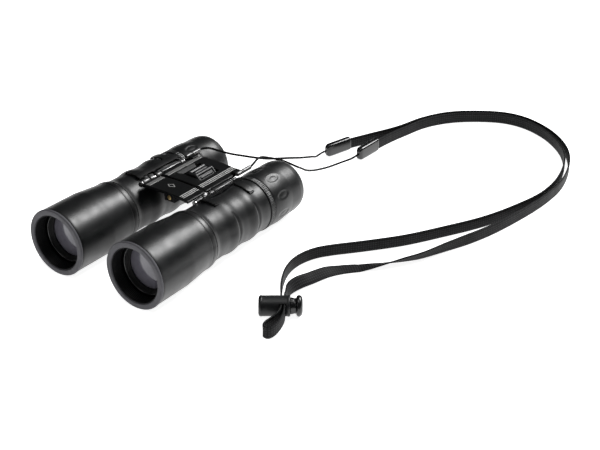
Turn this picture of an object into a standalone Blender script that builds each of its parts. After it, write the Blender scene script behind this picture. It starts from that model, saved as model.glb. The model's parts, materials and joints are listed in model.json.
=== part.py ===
"""Compact double-hinge roof-prism binoculars with a neck strap, modelled as separate parts.

The instrument is drawn level: objectives at y = 0 facing -Y, eyecups towards +Y, optical axes along Y.
The empty "lying" then tips it so that both objective tubes and both eyecups rest on z = 0.
"Left" and "right" are the user's: the left barrel is at +X, the right barrel at -X.
"""
import math

import bmesh
import bpy
from mathutils import Matrix, Vector

MM = 0.001
GAP = 0.3 * MM
FINE = 28
COARSE = 20

# Driving dimensions of a barrel
AXIS_X = 29.6 * MM            # half the distance between the optical axes
RIM_R = 20.25 * MM            # objective rim, the widest circle
TUBE_R = 20.0 * MM
TAPER_R = 18.4 * MM           # rear end of the objective tube
BODY_R = 17.0 * MM            # prism housing between its ribs
RIB_H = 0.65 * MM
CUP_R = 17.65 * MM            # eyecup at its grip bulge
CUP_Y = 114.5 * MM            # middle of the grip bulge
LENGTH = 137.0 * MM           # rim to the rear of the eyecup
AXIS_Z = RIM_R                # height of the optical axis above the rim's lowest point

# Bridge and hinges
HINGE_X = 20.5 * MM
HINGE_Z = 35.0 * MM
PIN_R = 0.9 * MM
WEB_LEAN = math.radians(40)   # lean of the webs that join the knuckles to the clamp plate
KNUCKLE_R = 1.9 * MM
PLATE_HALF = 17.6 * MM
PLATE_T = 1.5 * MM
PLATE_EDGE_Z = 36.6 * MM      # top of the arched plate at its edge
PLATE_MID_Z = 37.7 * MM       # and on the centre line
FRONT_Y = (60.0 * MM, 75.3 * MM)
REAR_Y = (76.8 * MM, 110.0 * MM)
WHEEL_Z = 32.0 * MM
WHEEL_R = 8.0 * MM
WHEEL_Y = (84.5 * MM, 100.5 * MM)

# How it lies: the creases behind the objective ends and the eyecup bulges touch the floor
CREASE_Y = 27.0 * MM          # rear end of the objective tube's straight part
TIP = math.atan2(TUBE_R - CUP_R, CUP_Y - CREASE_Y)
LIFT = CREASE_Y * math.sin(TIP) - (RIM_R - TUBE_R) * math.cos(TIP)
BACK = 0.5 * (LENGTH * math.cos(TIP) + (AXIS_Z + CUP_R) * math.sin(TIP))

# Strap, in world coordinates: the webbing stands on edge on the floor
WEB_H = 7.6 * MM
WEB_T = 1.0 * MM
WEB_Z = 0.15 * MM
CORD_R = 0.7 * MM


def clear_scene():
    for obj in list(bpy.data.objects):
        bpy.data.objects.remove(obj, do_unlink=True)


def collection(name):
    coll = bpy.data.collections.new(name)
    bpy.context.scene.collection.children.link(coll)
    return coll


clear_scene()
PARTS = collection("binoculars")
CUTTERS = collection("cutters")


def material(name, colour, roughness, metallic):
    mat = bpy.data.materials.new(name)
    mat.use_nodes = True
    bsdf = mat.node_tree.nodes["Principled BSDF"]
    bsdf.inputs["Base Color"].default_value = (*colour, 1.0)
    bsdf.inputs["Roughness"].default_value = roughness
    bsdf.inputs["Metallic"].default_value = metallic
    return mat


LOOKS = {
    "satin": ((0.02, 0.021, 0.022), 0.42, 0.0),
    "rubber": ((0.017, 0.018, 0.019), 0.6, 0.0),
    "rim": ((0.06, 0.06, 0.065), 0.65, 0.0),
    "gloss": ((0.012, 0.012, 0.013), 0.18, 0.0),
    "steel": ((0.5, 0.5, 0.5), 0.25, 1.0),
    "brass": ((0.55, 0.42, 0.2), 0.3, 1.0),
    "inner": ((0.01, 0.01, 0.01), 0.8, 0.0),
    "glass": ((0.12, 0.11, 0.14), 0.05, 0.0),
    "webbing": ((0.03, 0.03, 0.032), 0.85, 0.0),
}


def finish(obj, look, parent=None):
    """Give an object its own material, smooth shading, its parent and the parts collection."""
    for coll in list(obj.users_collection):
        coll.objects.unlink(obj)
    PARTS.objects.link(obj)
    colour, roughness, metallic = LOOKS[look]
    obj.data.materials.append(material(obj.name, colour, roughness, metallic))
    if obj.type == "MESH":
        obj.data.shade_smooth()
        obj.data.set_sharp_from_angle(angle=math.radians(35))
    obj.parent = parent
    return obj


def new_object(name, mesh):
    obj = bpy.data.objects.new(name, mesh)
    PARTS.objects.link(obj)
    return obj


def empty(name, location, parent=None, rotation=(0, 0, 0)):
    obj = bpy.data.objects.new(name, None)
    PARTS.objects.link(obj)
    obj.location = location
    obj.rotation_euler = rotation
    obj.parent = parent
    return obj


def turned(name, outline, look, parent, steps=FINE, ring=True, at=(0, 0, 0)):
    """A body turned about its own Y axis from (radius, y) points in millimetres.

    The points run down the outer side, from the rear (large y) to the front, then back along the bore.
    """
    bm = bmesh.new()
    verts = [bm.verts.new((r * MM, 0, y * MM)) for r, y in outline]
    for a, b in zip(verts, verts[1:]):
        bm.edges.new((a, b))
    if ring:
        bm.edges.new((verts[-1], verts[0]))
    mesh = bpy.data.meshes.new(name)
    bm.to_mesh(mesh)
    bm.free()
    obj = new_object(name, mesh)
    screw = obj.modifiers.new("turn", "SCREW")
    screw.axis = "Z"
    screw.steps = steps
    screw.render_steps = steps
    screw.use_merge_vertices = True
    screw.merge_threshold = 0.00001
    obj.rotation_euler = (-math.pi / 2, 0, 0)
    obj.location = at
    return finish(obj, look, parent)


def box_mesh(bm, low, high):
    """Add a box between two corners to bm."""
    size = [h - l for l, h in zip(low, high)]
    centre = [(h + l) / 2 for l, h in zip(low, high)]
    place = Matrix.Translation(centre) @ Matrix.Diagonal((*size, 1))
    return bmesh.ops.create_cube(bm, size=1, matrix=place)["verts"]


def rod_mesh(bm, centre, radius, y0, y1, segments=20):
    """Add a rod along Y to bm; centre is (x, z)."""
    turn = Matrix.Rotation(math.pi / 2, 4, "X")
    place = Matrix.Translation((centre[0], (y0 + y1) / 2, centre[1])) @ turn
    bmesh.ops.create_cone(bm, cap_ends=True, segments=segments, radius1=radius, radius2=radius,
                          depth=y1 - y0, matrix=place)


def mesh_object(name, build, look="inner", parent=None, bevel=0.0):
    """A named object from a function that fills a bmesh."""
    bm = bmesh.new()
    build(bm)
    mesh = bpy.data.meshes.new(name)
    bm.to_mesh(mesh)
    bm.free()
    obj = new_object(name, mesh)
    if bevel:
        edge = obj.modifiers.new("edge", "BEVEL")
        edge.width = bevel
        edge.segments = 2
        edge.limit_method = "ANGLE"
    return finish(obj, look, parent)


def tool(name, build, parent=None):
    """A hidden cutter or joining piece, kept in its own collection."""
    bm = bmesh.new()
    build(bm)
    mesh = bpy.data.meshes.new(name)
    bm.to_mesh(mesh)
    bm.free()
    obj = bpy.data.objects.new(name, mesh)
    CUTTERS.objects.link(obj)
    obj.parent = parent
    obj.hide_render = True
    obj.display_type = "WIRE"
    return obj


def boolean(obj, other, operation):
    mod = obj.modifiers.new(operation.lower(), "BOOLEAN")
    mod.operation = operation
    mod.solver = "EXACT"
    mod.object = other


def swept(bm, rings):
    """Close a row of four-cornered sections into one body with flat ends."""
    for first, second in zip(rings, rings[1:]):
        for k in range(4):
            n = (k + 1) % 4
            bm.faces.new((first[k], second[k], second[n], first[n]))
    bm.faces.new(rings[0])
    bm.faces.new(reversed(rings[-1]))
    bmesh.ops.recalc_face_normals(bm, faces=bm.faces)


def arc_slab(bm, radius0, radius1, angle0, angle1, y0, y1, steps=8):
    """A curved slab about the Y axis of the local frame: between two radii, two angles, two y."""
    rings = []
    for i in range(steps + 1):
        a = math.radians(angle0 + (angle1 - angle0) * i / steps)
        quad = []
        for r, y in ((radius0, y0), (radius0, y1), (radius1, y1), (radius1, y0)):
            quad.append(bm.verts.new((r * math.cos(a), y, r * math.sin(a))))
        rings.append(quad)
    swept(bm, rings)


# ------------------------------------------------------------------ barrels

def rib(y, centre, half):
    """Height of one rounded finger rib, in millimetres, at y."""
    d = abs(y - centre) / half
    return 0.0 if d >= 1 else RIB_H / MM * 0.5 * (1 + math.cos(math.pi * d))


def housing_radius(y):
    return BODY_R / MM + rib(y, 69.5, 7.5) + rib(y, 87.5, 7.5)


def objective_tube(tag, axis):
    outline = [(14.0, 56.0), (14.0, 49.5), (18.0, 49.4), (18.45, 48.0), (TAPER_R / MM, 43.5),
               (19.3, 34.5), (TUBE_R / MM, 27.0), (TUBE_R / MM, 1.9), (18.4, 1.9), (18.4, 25.0),
               (17.0, 41.0), (12.9, 46.0), (12.9, 56.0)]
    return turned(f"{tag}_objective_tube", outline, "satin", axis)


def objective_bezel(tag, axis):
    outline = [(18.1, 7.5), (18.1, 1.6), (RIM_R / MM, 1.6), (RIM_R / MM, 0.5), (19.9, 0.0),
               (16.9, 0.0), (16.6, 0.4), (16.6, 7.5)]
    return turned(f"{tag}_objective_bezel", outline, "rim", axis)


def objective_group(tag, axis):
    """The sliding cell, its lens, retaining ring and the arm that carries the focus motion."""
    cell = [(17.9, 21.0), (17.9, 9.6), (15.2, 9.6), (15.2, 17.9), (12.0, 17.9), (12.0, 21.0)]
    turned(f"{tag}_objective_cell", cell, "inner", axis)
    ring = [(14.8, 11.3), (14.8, 8.7), (14.3, 8.7), (12.7, 10.9), (12.7, 11.3)]
    turned(f"{tag}_lens_retaining_ring", ring, "inner", axis)
    turned(f"{tag}_objective_lens", lens_outline(14.8, 12.1, 17.2, 2.0, 0.4), "glass", axis, ring=False)

    def arm(bm):
        box_mesh(bm, (-1.4 * MM, 18.2 * MM, 10.5 * MM), (1.4 * MM, 56.3 * MM, 11.6 * MM))

    bar = mesh_object(f"{tag}_focus_arm", arm, "steel", axis)
    bar.rotation_euler = (0, math.radians(-25 if tag == "left" else 25), 0)


def lens_outline(radius, y_front, y_rear, bulge_front, bulge_rear, points=3):
    """Half outline of a lens: the rear surface from the axis out, the edge, the front surface back."""
    outline = []
    for i in range(points + 1):
        u = i / points
        outline.append((radius * u, y_rear + bulge_rear * (1 - u * u)))
    for i in range(points + 1):
        u = 1 - i / points
        outline.append((radius * u, y_front - bulge_front * (1 - u * u)))
    return outline


def barrel_housing(tag, side, axis):
    """The ribbed prism housing, with the groove that its hinge turns in."""
    outline = []
    y = 101.4
    while y > 55.0:
        outline.append((housing_radius(y), y))
        y -= 3.6
    outline += [(BODY_R / MM, 53.0), (17.6, 51.2), (18.0, 49.7), (14.3, 49.7), (14.3, 57.0),
                (11.9, 57.0), (11.9, 101.4)]
    housing = turned(f"{tag}_barrel_housing", outline, "rubber", axis)
    centre = (-side * (AXIS_X - HINGE_X), HINGE_Z - AXIS_Z)

    def groove(bm):
        rod_mesh(bm, centre, KNUCKLE_R + 1.1 * MM, 61.0 * MM, 103.0 * MM, 24)

    boolean(housing, tool(f"{tag}_groove_cutter", groove, axis), "DIFFERENCE")


def hinge_bracket(tag, side, axis):
    """The curved clamp plate on top of the housing with its three hinge knuckles."""
    hinge = (-side * (AXIS_X - HINGE_X), HINGE_Z - AXIS_Z)
    stations = ((63.5, 72.3), (75.6, 79.9), (97.4, 100.2))

    def slab(bm, first, last, y0, y1):
        """A curved piece of the clamp between two angles counted up from the barrel's outer side."""
        angles = (first, last) if side > 0 else (180 - first, 180 - last)
        arc_slab(bm, 17.9 * MM, 18.8 * MM, *angles, y0 * MM, y1 * MM)

    bracket = mesh_object(f"{tag}_hinge_bracket", lambda bm: slab(bm, 97, 112, 63.7, 100.9), "satin", axis)
    for number, (first, y0, y1) in enumerate(((76, 64.2, 67.6), (61, 90.6, 95.6))):
        def foot(bm, first=first, y0=y0, y1=y1):
            slab(bm, first, 104, y0, y1)

        boolean(bracket, tool(f"{tag}_clamp_foot_{number}", foot, axis), "UNION")
    for number, (y0, y1) in enumerate(stations):
        def knuckle(bm, y0=y0, y1=y1):
            rod_mesh(bm, hinge, KNUCKLE_R, y0 * MM, y1 * MM, 20)

        def web(bm, y0=y0, y1=y1):
            low = (-0.55 * MM, (y0 + 0.4) * MM, 1.3 * MM)
            high = (0.55 * MM, (y1 - 0.4) * MM, 3.7 * MM)
            verts = box_mesh(bm, low, high)
            spin = Matrix.Translation((hinge[0], 0, hinge[1])) @ Matrix.Rotation(side * WEB_LEAN, 4, "Y")
            bmesh.ops.transform(bm, matrix=spin, verts=verts)

        boolean(bracket, tool(f"{tag}_knuckle_{number}", knuckle, axis), "UNION")
        boolean(bracket, tool(f"{tag}_web_{number}", web, axis), "UNION")

    def bore(bm):
        rod_mesh(bm, hinge, PIN_R + GAP, 60.0 * MM, 104.0 * MM, 16)

    boolean(bracket, tool(f"{tag}_bracket_bore", bore, axis), "DIFFERENCE")


def prism_group(tag, axis):
    holder = [(11.6, 94.0), (11.6, 57.6), (7.5, 57.6), (7.5, 59.2), (10.9, 59.2), (10.9, 94.0)]
    turned(f"{tag}_prism_holder", holder, "inner", axis, COARSE)

    def wedge(front):
        """A glass block with one slanted end, as in a roof-prism pair."""
        def build(bm):
            y0, y1 = (60.5, 75.0) if front else (75.6, 91.5)
            slanted = y1 if front else y0
            verts = box_mesh(bm, (-7.2 * MM, y0 * MM, -7.2 * MM), (7.2 * MM, y1 * MM, 7.2 * MM))
            for v in verts:
                if v.co.z > 0 and abs(v.co.y - slanted * MM) < 1 * MM:
                    v.co.y -= 3.5 * MM
        return build

    mesh_object(f"{tag}_front_prism", wedge(True), "glass", axis)
    mesh_object(f"{tag}_rear_prism", wedge(False), "glass", axis)


def eyepiece(tag, axis, cup_parent, cell_parent):
    tube = [(11.5, 129.0), (11.5, 96.4), (9.6, 96.4), (9.6, 118.0), (8.9, 118.0), (8.9, 129.0)]
    turned(f"{tag}_ocular_tube", tube, "inner", cell_parent, COARSE)
    turned(f"{tag}_field_lens", lens_outline(9.3, 103.0, 107.0, 1.4, 0.4), "glass", cell_parent,
           COARSE, ring=False)
    turned(f"{tag}_eye_lens", lens_outline(8.6, 122.5, 126.0, 0.5, 1.5), "glass", cell_parent,
           COARSE, ring=False)
    ring = [(17.2, 105.9), (17.3, 105.4), (17.3, 102.2), (17.2, 101.75), (12.4, 101.75), (12.4, 105.9)]
    turned(f"{tag}_eyepiece_ring", ring, "rubber", cup_parent)
    cup = [(12.6, 131.0), (12.9, 136.0), (13.8, 136.9), (14.6, LENGTH / MM), (15.8, 136.4), (16.6, 134.5),
           (17.0, 131.5), (17.0, 123.0), (17.4, 119.5), (CUP_R / MM, CUP_Y / MM), (17.4, 109.8),
           (17.0, 106.9), (17.0, 106.2), (12.0, 106.2), (12.0, 131.0)]
    turned(f"{tag}_eyecup", cup, "rubber", cup_parent)


def barrel(tag, side, lying):
    pivot = empty(f"{tag}_barrel_pivot", (side * HINGE_X, 0, HINGE_Z), lying)
    axis = empty(f"{tag}_optical_axis", (side * (AXIS_X - HINGE_X), 0, AXIS_Z - HINGE_Z), pivot)
    objective_tube(tag, axis)
    objective_bezel(tag, axis)
    focus = empty(f"{tag}_focus_slide", (0, 0, 0), axis)
    objective_group(tag, focus)
    barrel_housing(tag, side, axis)
    hinge_bracket(tag, side, axis)
    prism_group(tag, axis)
    if tag == "right":
        cup = empty("diopter_turn", (0, 0, 0), axis)
        cell = empty("diopter_slide", (0, 0, 0), axis)
    else:
        cup = cell = axis
    eyepiece(tag, axis, cup, cell)


# ------------------------------------------------------------------ bridge

def crown(x, edge_z, mid_z, half):
    """Height of the gently arched bridge top at x."""
    u = x / half
    return mid_z - (mid_z - edge_z) * u * u


def arched_plate(bm, y0, y1, half=PLATE_HALF, steps=12):
    """A thin plate arched across X between y0 and y1."""
    rows = []
    for i in range(steps + 1):
        x = half * (2 * i / steps - 1)
        top = crown(x, PLATE_EDGE_Z, PLATE_MID_Z, half)
        quad = [bm.verts.new((x, y, z)) for y, z in
                ((y0, top - PLATE_T), (y1, top - PLATE_T), (y1, top), (y0, top))]
        rows.append(quad)
    swept(bm, rows)


def front_plate(parent):
    mesh_object("front_bridge_plate", lambda bm: arched_plate(bm, *FRONT_Y), "gloss", parent)


def rear_plate(parent):
    """The rear plate with its rolled hinge edges and the window of the focus wheel."""
    plate = mesh_object("rear_bridge_plate", lambda bm: arched_plate(bm, *REAR_Y), "gloss", parent)
    for side in (-1, 1):
        def roll(bm, side=side):
            rod_mesh(bm, (side * HINGE_X, HINGE_Z), KNUCKLE_R, 80.3 * MM, 97.0 * MM, 20)

        def lip(bm, side=side):
            x = sorted((side * (PLATE_HALF - 0.5 * MM), side * (HINGE_X - 0.9 * MM)))
            box_mesh(bm, (x[0], 80.5 * MM, 35.25 * MM), (x[1], 96.8 * MM, 36.35 * MM))

        boolean(plate, tool(f"edge_roll_{side}", roll, parent), "UNION")
        boolean(plate, tool(f"edge_lip_{side}", lip, parent), "UNION")
    for side in (-1, 1):
        def bore(bm, side=side):
            rod_mesh(bm, (side * HINGE_X, HINGE_Z), PIN_R + GAP, 79.0 * MM, 99.0 * MM, 16)

        boolean(plate, tool(f"edge_bore_{side}", bore, parent), "DIFFERENCE")

    def window(bm):
        box_mesh(bm, (-7.9 * MM, 83.7 * MM, 30.0 * MM), (7.9 * MM, 101.3 * MM, 40.0 * MM))

    boolean(plate, tool("wheel_window", window, parent), "DIFFERENCE")


def bottom_cover(parent):
    """Tray under the bridge: side walls, cross walls that carry the focus shaft, and a wheel window."""
    def tray(bm):
        box_mesh(bm, (-9.5 * MM, 78.0 * MM, 30.4 * MM), (9.5 * MM, 108.5 * MM, 35.5 * MM))

    def hollow(bm):
        box_mesh(bm, (-8.5 * MM, 83.6 * MM, 29.0 * MM), (8.5 * MM, 101.5 * MM, 37.0 * MM))

    def rear_hollow(bm):
        box_mesh(bm, (-8.5 * MM, 104.2 * MM, 31.4 * MM), (8.5 * MM, 107.5 * MM, 37.0 * MM))

    def bearing(bm):
        rod_mesh(bm, (0, WHEEL_Z), 1.8 * MM, 76.0 * MM, 103.4 * MM, 16)

    cover = mesh_object("bridge_bottom_cover", tray, "satin", parent)
    boolean(cover, tool("cover_hollow", hollow, parent), "DIFFERENCE")
    boolean(cover, tool("cover_rear_hollow", rear_hollow, parent), "DIFFERENCE")
    boolean(cover, tool("cover_bearing", bearing, parent), "DIFFERENCE")


def focus_gear(parent):
    """The eight-sided focus wheel, its screw shaft, and the nut that draws the front plate along."""
    turn = empty("focus_turn", (0, 0, WHEEL_Z), parent)
    y0, y1 = WHEEL_Y

    def wheel(bm):
        place = Matrix.Translation((0, (y0 + y1) / 2, 0)) @ Matrix.Rotation(math.pi / 2, 4, "X")
        place = place @ Matrix.Rotation(math.radians(22.5), 4, "Z")
        bmesh.ops.create_cone(bm, cap_ends=True, segments=8, radius1=WHEEL_R, radius2=WHEEL_R,
                              depth=y1 - y0, matrix=place)

    obj = mesh_object("focus_wheel", wheel, "satin", turn, bevel=0.8 * MM)

    def bore(bm):
        rod_mesh(bm, (0, 0), 1.8 * MM, y0 - 2 * MM, y1 + 2 * MM, 16)

    boolean(obj, tool("wheel_bore", bore, turn), "DIFFERENCE")

    def shaft(bm):
        rod_mesh(bm, (0, 0), 1.5 * MM, 63.5 * MM, 103.0 * MM, 16)

    mesh_object("focus_shaft", shaft, "brass", turn)

    def nut(bm):
        box_mesh(bm, (-4.0 * MM, 64.0 * MM, 29.2 * MM), (4.0 * MM, 73.5 * MM, 35.85 * MM))

    def thread(bm):
        rod_mesh(bm, (0, WHEEL_Z), 1.8 * MM, 60.0 * MM, 76.0 * MM, 16)

    block = mesh_object("focus_nut", nut, "brass", parent, bevel=0.4 * MM)
    boolean(block, tool("nut_thread", thread, parent), "DIFFERENCE")


def hinge_pins(parent):
    for tag, side in (("left", 1), ("right", -1)):
        outline = [(0.0, 101.4), (1.3, 101.3), (1.7, 101.0), (1.7, 100.5), (0.9, 100.5), (0.9, 63.2),
                   (1.7, 63.2), (1.7, 62.4), (1.3, 62.0), (0.0, 62.0)]
        turned(f"{tag}_hinge_pin", outline, "steel", parent, 16, ring=False,
               at=(side * HINGE_X, 0, HINGE_Z))


LUG_X = 19.8 * MM
LUG_Z = 37.45 * MM
LUG_END_Y = 116.0 * MM


def strap_lugs(parent):
    """A short rod on each rear corner of the bridge; the strap cord comes out of its rear end."""
    for tag, side in (("left", 1), ("right", -1)):
        def rod(bm, side=side):
            rod_mesh(bm, (side * LUG_X, LUG_Z), 1.25 * MM, 102.4 * MM, LUG_END_Y, 16)

        def foot(bm, side=side):
            x = sorted((side * 14.6 * MM, side * 19.6 * MM))
            box_mesh(bm, (x[0], 103.0 * MM, 37.35 * MM), (x[1], 108.5 * MM, 38.15 * MM))

        lug = mesh_object(f"{tag}_strap_lug", rod, "gloss", parent)
        boolean(lug, tool(f"{tag}_lug_foot", foot, parent), "UNION")


def bridge_screws(parent):
    """Two pan-head screws that hold the bottom cover to the rear plate."""
    for number, y in enumerate((80.4, 106.0)):
        outline = [(0.0, 0.0), (1.5, 0.0), (1.5, -0.6), (1.0, -1.0), (0.0, -1.0)]
        screw = turned(f"cover_screw_{number + 1}", outline, "steel", parent, 16, ring=False,
                       at=(0, y * MM, 30.1 * MM))
        screw.rotation_euler = (0, 0, 0)


# ------------------------------------------------------------------ neck strap

def smooth(points, count):
    """Points evenly spaced along a smooth curve (centripetal Catmull-Rom) through the given ones."""
    pts = [Vector(p) for p in points]
    pts = [2 * pts[0] - pts[1]] + pts + [2 * pts[-1] - pts[-2]]
    dense = []
    for i in range(1, len(pts) - 2):
        p0, p1, p2, p3 = pts[i - 1:i + 3]
        t1 = (p1 - p0).length ** 0.5
        t2 = t1 + (p2 - p1).length ** 0.5
        t3 = t2 + (p3 - p2).length ** 0.5
        for k in range(16):
            t = t1 + (t2 - t1) * k / 16
            a1 = p0 * ((t1 - t) / t1) + p1 * (t / t1)
            a2 = p1 * ((t2 - t) / (t2 - t1)) + p2 * ((t - t1) / (t2 - t1))
            a3 = p2 * ((t3 - t) / (t3 - t2)) + p3 * ((t - t2) / (t3 - t2))
            b1 = a1 * ((t2 - t) / t2) + a2 * (t / t2)
            b2 = a2 * ((t3 - t) / (t3 - t1)) + a3 * ((t - t1) / (t3 - t1))
            dense.append(b1 * ((t2 - t) / (t2 - t1)) + b2 * ((t - t1) / (t2 - t1)))
    dense.append(pts[-2])
    lengths = [0.0]
    for a, b in zip(dense, dense[1:]):
        lengths.append(lengths[-1] + (b - a).length)
    out = []
    j = 0
    for i in range(count):
        s = lengths[-1] * i / (count - 1)
        while j < len(dense) - 2 and lengths[j + 1] < s:
            j += 1
        span = lengths[j + 1] - lengths[j]
        out.append(dense[j].lerp(dense[j + 1], (s - lengths[j]) / span))
    return out


def cord(name, route, count):
    """A round cord: a poly curve with filled caps along the route, given in millimetres."""
    curve = bpy.data.curves.new(name, "CURVE")
    curve.dimensions = "3D"
    spline = curve.splines.new("POLY")
    points = smooth(route, count)
    spline.points.add(len(points) - 1)
    for p, q in zip(spline.points, points):
        p.co = (*(q * MM), 1)
    curve.bevel_depth = CORD_R
    curve.bevel_resolution = 2
    curve.use_fill_caps = True
    finish(new_object(name, curve), "webbing")


def turn_at(twist, y):
    """Turn of the webbing out of upright, in radians, from (y, degrees) pairs in falling y."""
    for (y0, a0), (y1, a1) in zip(twist, twist[1:]):
        if y0 >= y > y1:
            return math.radians(a0 + (a1 - a0) * (y0 - y) / (y0 - y1))
    return math.radians(twist[0][1] if y > twist[0][0] else twist[-1][1])


def ribbon(name, route, count, twist=((0, 0), (-1, 0))):
    """Flat webbing on edge along a route of (x, y, height of its lowest point), turned over where twist says."""
    places = smooth(route, count)

    def build(bm):
        rings = []
        for i, place in enumerate(places):
            along = places[min(i + 1, count - 1)] - places[max(i - 1, 0)]
            side = Vector((-along.y, along.x, 0)).normalized()
            turn = turn_at(twist, place.y if i > count // 2 else twist[0][0])
            up = Vector((0, 0, math.cos(turn))) + side * math.sin(turn)
            out = side * math.cos(turn) - Vector((0, 0, math.sin(turn)))
            reach = WEB_H / 2 * abs(math.cos(turn)) + WEB_T / 2 * abs(math.sin(turn))
            middle = place * MM + Vector((0, 0, reach))
            up, out = up * WEB_H / 2, out * WEB_T / 2
            corners = (middle - up - out, middle - up + out, middle + up + out, middle + up - out)
            rings.append([bm.verts.new(corner) for corner in corners])
        swept(bm, rings)

    mesh_object(name, build, "webbing")


def on_floor(points):
    """Route points lying on the floor, from (x, y)."""
    return tuple((x, y, WEB_Z / MM) for x, y in points)


# Routes through hand-placed points, in millimetres. Cords and webbing near the lock: x, y, z.
LEFT_CORD = ((19.8, 48.5, 34.8), (19.2, 52, 35.2), (17.6, 58, 35.3), (17.0, 63, 34.3), (18.0, 67.5, 32.4),
             (20.5, 71.2, 30.8), (24.5, 73.4, 29.9), (29.5, 74.6, 28.9), (32, 77.5, 26.5), (30.5, 86, 20.8),
             (28, 95, 14.8), (25.6, 105, 9.6), (23.4, 116, 5), (23.6, 127, 2.2), (26.4, 137.3, 2.0),
             (30.4, 143.6, 3.4), (32.0, 149.0, 4.4))
RIGHT_CORD = ((-19.8, 48.5, 34.8), (-19.0, 50.3, 35.0), (-15.5, 52, 35.4), (-9, 52.4, 35.6), (0, 53.5, 35.5),
              (8, 57.5, 34.6), (12.5, 64, 32), (15, 71, 29.2), (18.5, 77, 27.9), (23.4, 83, 27.2), (26, 91, 24.8),
              (25.8, 99, 21.8), (23.8, 108, 17.8), (19.4, 118, 12.4), (14.6, 129, 8), (11.8, 137, 5.4),
              (11.55, 140.9, 4.7))
LEFT_JOINT = ((32.1, 149.5), (33.6, 170.0))
RIGHT_JOINT = ((11.6, 141.4), (17.3, 161.0))
INNER_WEB = on_floor(((33.65, 170.4), (34.6, 179), (36.2, 189), (38.6, 200), (43.5, 219), (52, 234), (64, 246),
                      (84, 257.6), (100, 259), (119, 252.5), (136, 239.5), (146.5, 226), (153, 211),
                      (157.6, 190), (157.6, 168), (152.6, 147), (142.6, 120), (128, 94), (114.8, 73),
                      (99.7, 54.3), (85.4, 38)))
INNER_WEB += ((80.3, 30.5, 0.2), (77.3, 21, 0.4), (77.1, 12, 0.7), (79.3, 3, 1.2), (83.4, -6, 1.7),
              (88.6, -14.6, 2.1), (94.56, -22.75, 2.3), (97.98, -27.67, 2.3), (101.4, -32.6, 2.3), (102.7, -38, 1.8),
              (102.1, -43.6, 1.2), (101.7, -47.4, 0.8), (103.2, -50.2, 0.6), (105.9, -50, 0.6), (107.2, -46.6, 0.8),
              (106.9, -40.4, 1.6), (105, -34.8, 2.2), (103.04, -31.45, 2.3), (99.85, -26.86, 2.3))
OUTER_WEB = on_floor(((17.45, 161.35), (21, 168.9), (25, 177.5), (29.6, 187), (34.6, 199), (40.6, 219.4), (50, 236.6),
                      (63, 249), (84, 260.8), (100, 262.2), (120.6, 255.2), (138.2, 242), (149, 228),
                      (156.4, 211), (161, 190), (161, 168), (157.6, 143), (150, 110), (138, 79), (131.3, 63.8),
                      (125.6, 55.6), (118, 46.4), (111.7, 40.3), (105.9, 34.5), (99.9, 27.6), (95.6, 20)))
OUTER_WEB += ((92.2, 8, 0.3), (90.6, -1, 0.8), (91.2, -10.8, 1.6), (94, -17.4, 2.2), (96.2, -21.61, 2.3),
              (99.39, -26.2, 2.3))
OUTER_TWIST = ((95, 0), (78.6, 14), (63.3, 30), (55.3, 41), (46.4, 60), (40.3, 80), (34.5, 93), (27.6, 98),
               (20.4, 112), (8, 124), (-1, 142), (-10, 165), (-18, 180))
LOCK_AT = (95.1, -29.7)
LOCK_TURN = math.radians(35)
LOCK_Z = 6.1 * MM


def web_joint(name, ends):
    """Moulded ferrule between the thin cord and the webbing, lying on its narrow side."""
    a, b = (Vector((*p, 0)) * MM for p in ends)
    long = (b - a).length

    def build(bm):
        box_mesh(bm, (-long / 2, -2.3 * MM, 0.15 * MM), (long / 2, 2.3 * MM, 9.0 * MM))

    obj = mesh_object(name, build, "gloss", bevel=0.9 * MM)
    obj.location = (a + b) / 2
    obj.rotation_euler = (0, 0, math.atan2(b.y - a.y, b.x - a.x))


def cord_lock():
    """Spring cord lock: a barrel lying on its side, a plunger, and the spring behind the plunger."""
    place = empty("cord_lock_place", (LOCK_AT[0] * MM, LOCK_AT[1] * MM, LOCK_Z), None,
                  (0, 0, LOCK_TURN))
    turn = empty("cord_lock_axis", (0, 0, 0), place, (0, 0, -math.pi / 2))
    body = [(0.0, -7.3), (4.9, -7.3), (4.9, 8.65), (5.2, 8.65), (5.6, 8.3), (5.9, 7.4), (5.9, -6.9),
            (5.4, -8.1), (4.2, -8.65), (0.0, -8.65)]
    shell = turned("cord_lock_body", body, "rubber", turn, COARSE, ring=False)

    def slot(bm):
        box_mesh(bm, (-8 * MM, 2.1 * MM, -4.1 * MM), (8 * MM, 6.9 * MM, 4.1 * MM))

    boolean(shell, tool("lock_slot_cutter", slot, turn), "DIFFERENCE")
    slide = empty("plunger_slide", (0, 0, 0), turn)
    plunger = [(0.0, 15.6), (3.6, 15.4), (5.3, 14.7), (5.9, 13.6), (5.9, 12.8), (5.3, 12.1), (4.6, 11.9),
               (4.6, -5.2), (0.0, -5.2)]
    stem = turned("cord_lock_plunger", plunger, "gloss", slide, COARSE, ring=False)

    def eye(bm):
        box_mesh(bm, (-8 * MM, 2.6 * MM, -4.05 * MM), (8 * MM, 7.9 * MM, 4.05 * MM))

    boolean(stem, tool("plunger_slot_cutter", eye, slide), "DIFFERENCE")


def build_all():
    lying = empty("lying", (0, -BACK, LIFT), None, (-TIP, 0, 0))
    barrel("left", 1, lying)
    barrel("right", -1, lying)
    rear_plate(lying)
    slide = empty("front_plate_slide", (0, 0, 0), lying)
    front_plate(slide)
    bottom_cover(lying)
    focus_gear(lying)
    hinge_pins(lying)
    strap_lugs(lying)
    bridge_screws(lying)
    cord("left_cord", LEFT_CORD, 34)
    cord("right_cord", RIGHT_CORD, 34)
    web_joint("left_web_joint", LEFT_JOINT)
    web_joint("right_web_joint", RIGHT_JOINT)
    ribbon("inner_webbing", INNER_WEB, 84)
    ribbon("outer_webbing", OUTER_WEB, 72, OUTER_TWIST)
    cord_lock()


build_all()
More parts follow.
